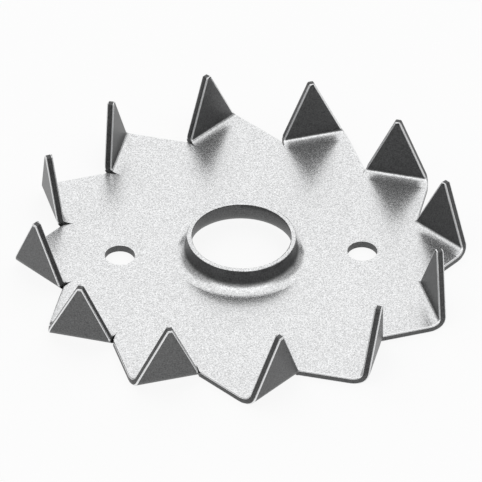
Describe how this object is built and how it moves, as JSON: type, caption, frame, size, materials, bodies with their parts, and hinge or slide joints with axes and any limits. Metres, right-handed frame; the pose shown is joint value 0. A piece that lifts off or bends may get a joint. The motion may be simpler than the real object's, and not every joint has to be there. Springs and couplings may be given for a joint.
{
  "type": "toothed plate connector",
  "caption": "Round single-sided toothed plate for timber joints: a folded ring of pointed teeth, a drawn collar round the bolt hole and two nail holes.",
  "frame": {"origin": "centre of the bolt hole, on the underside of the plate", "axes": "+Z along the bolt hole, the way the teeth and the collar point; the two nail holes lie on the X axis"},
  "size_m": [0.075, 0.075, 0.0121],
  "materials": {
    "steel": "satin zinc-coated sheet steel with fine grain, bright rounded sheared edges"
  },
  "bodies": {
    "root": {"connector": "steel"}
  },
  "joints": []
}
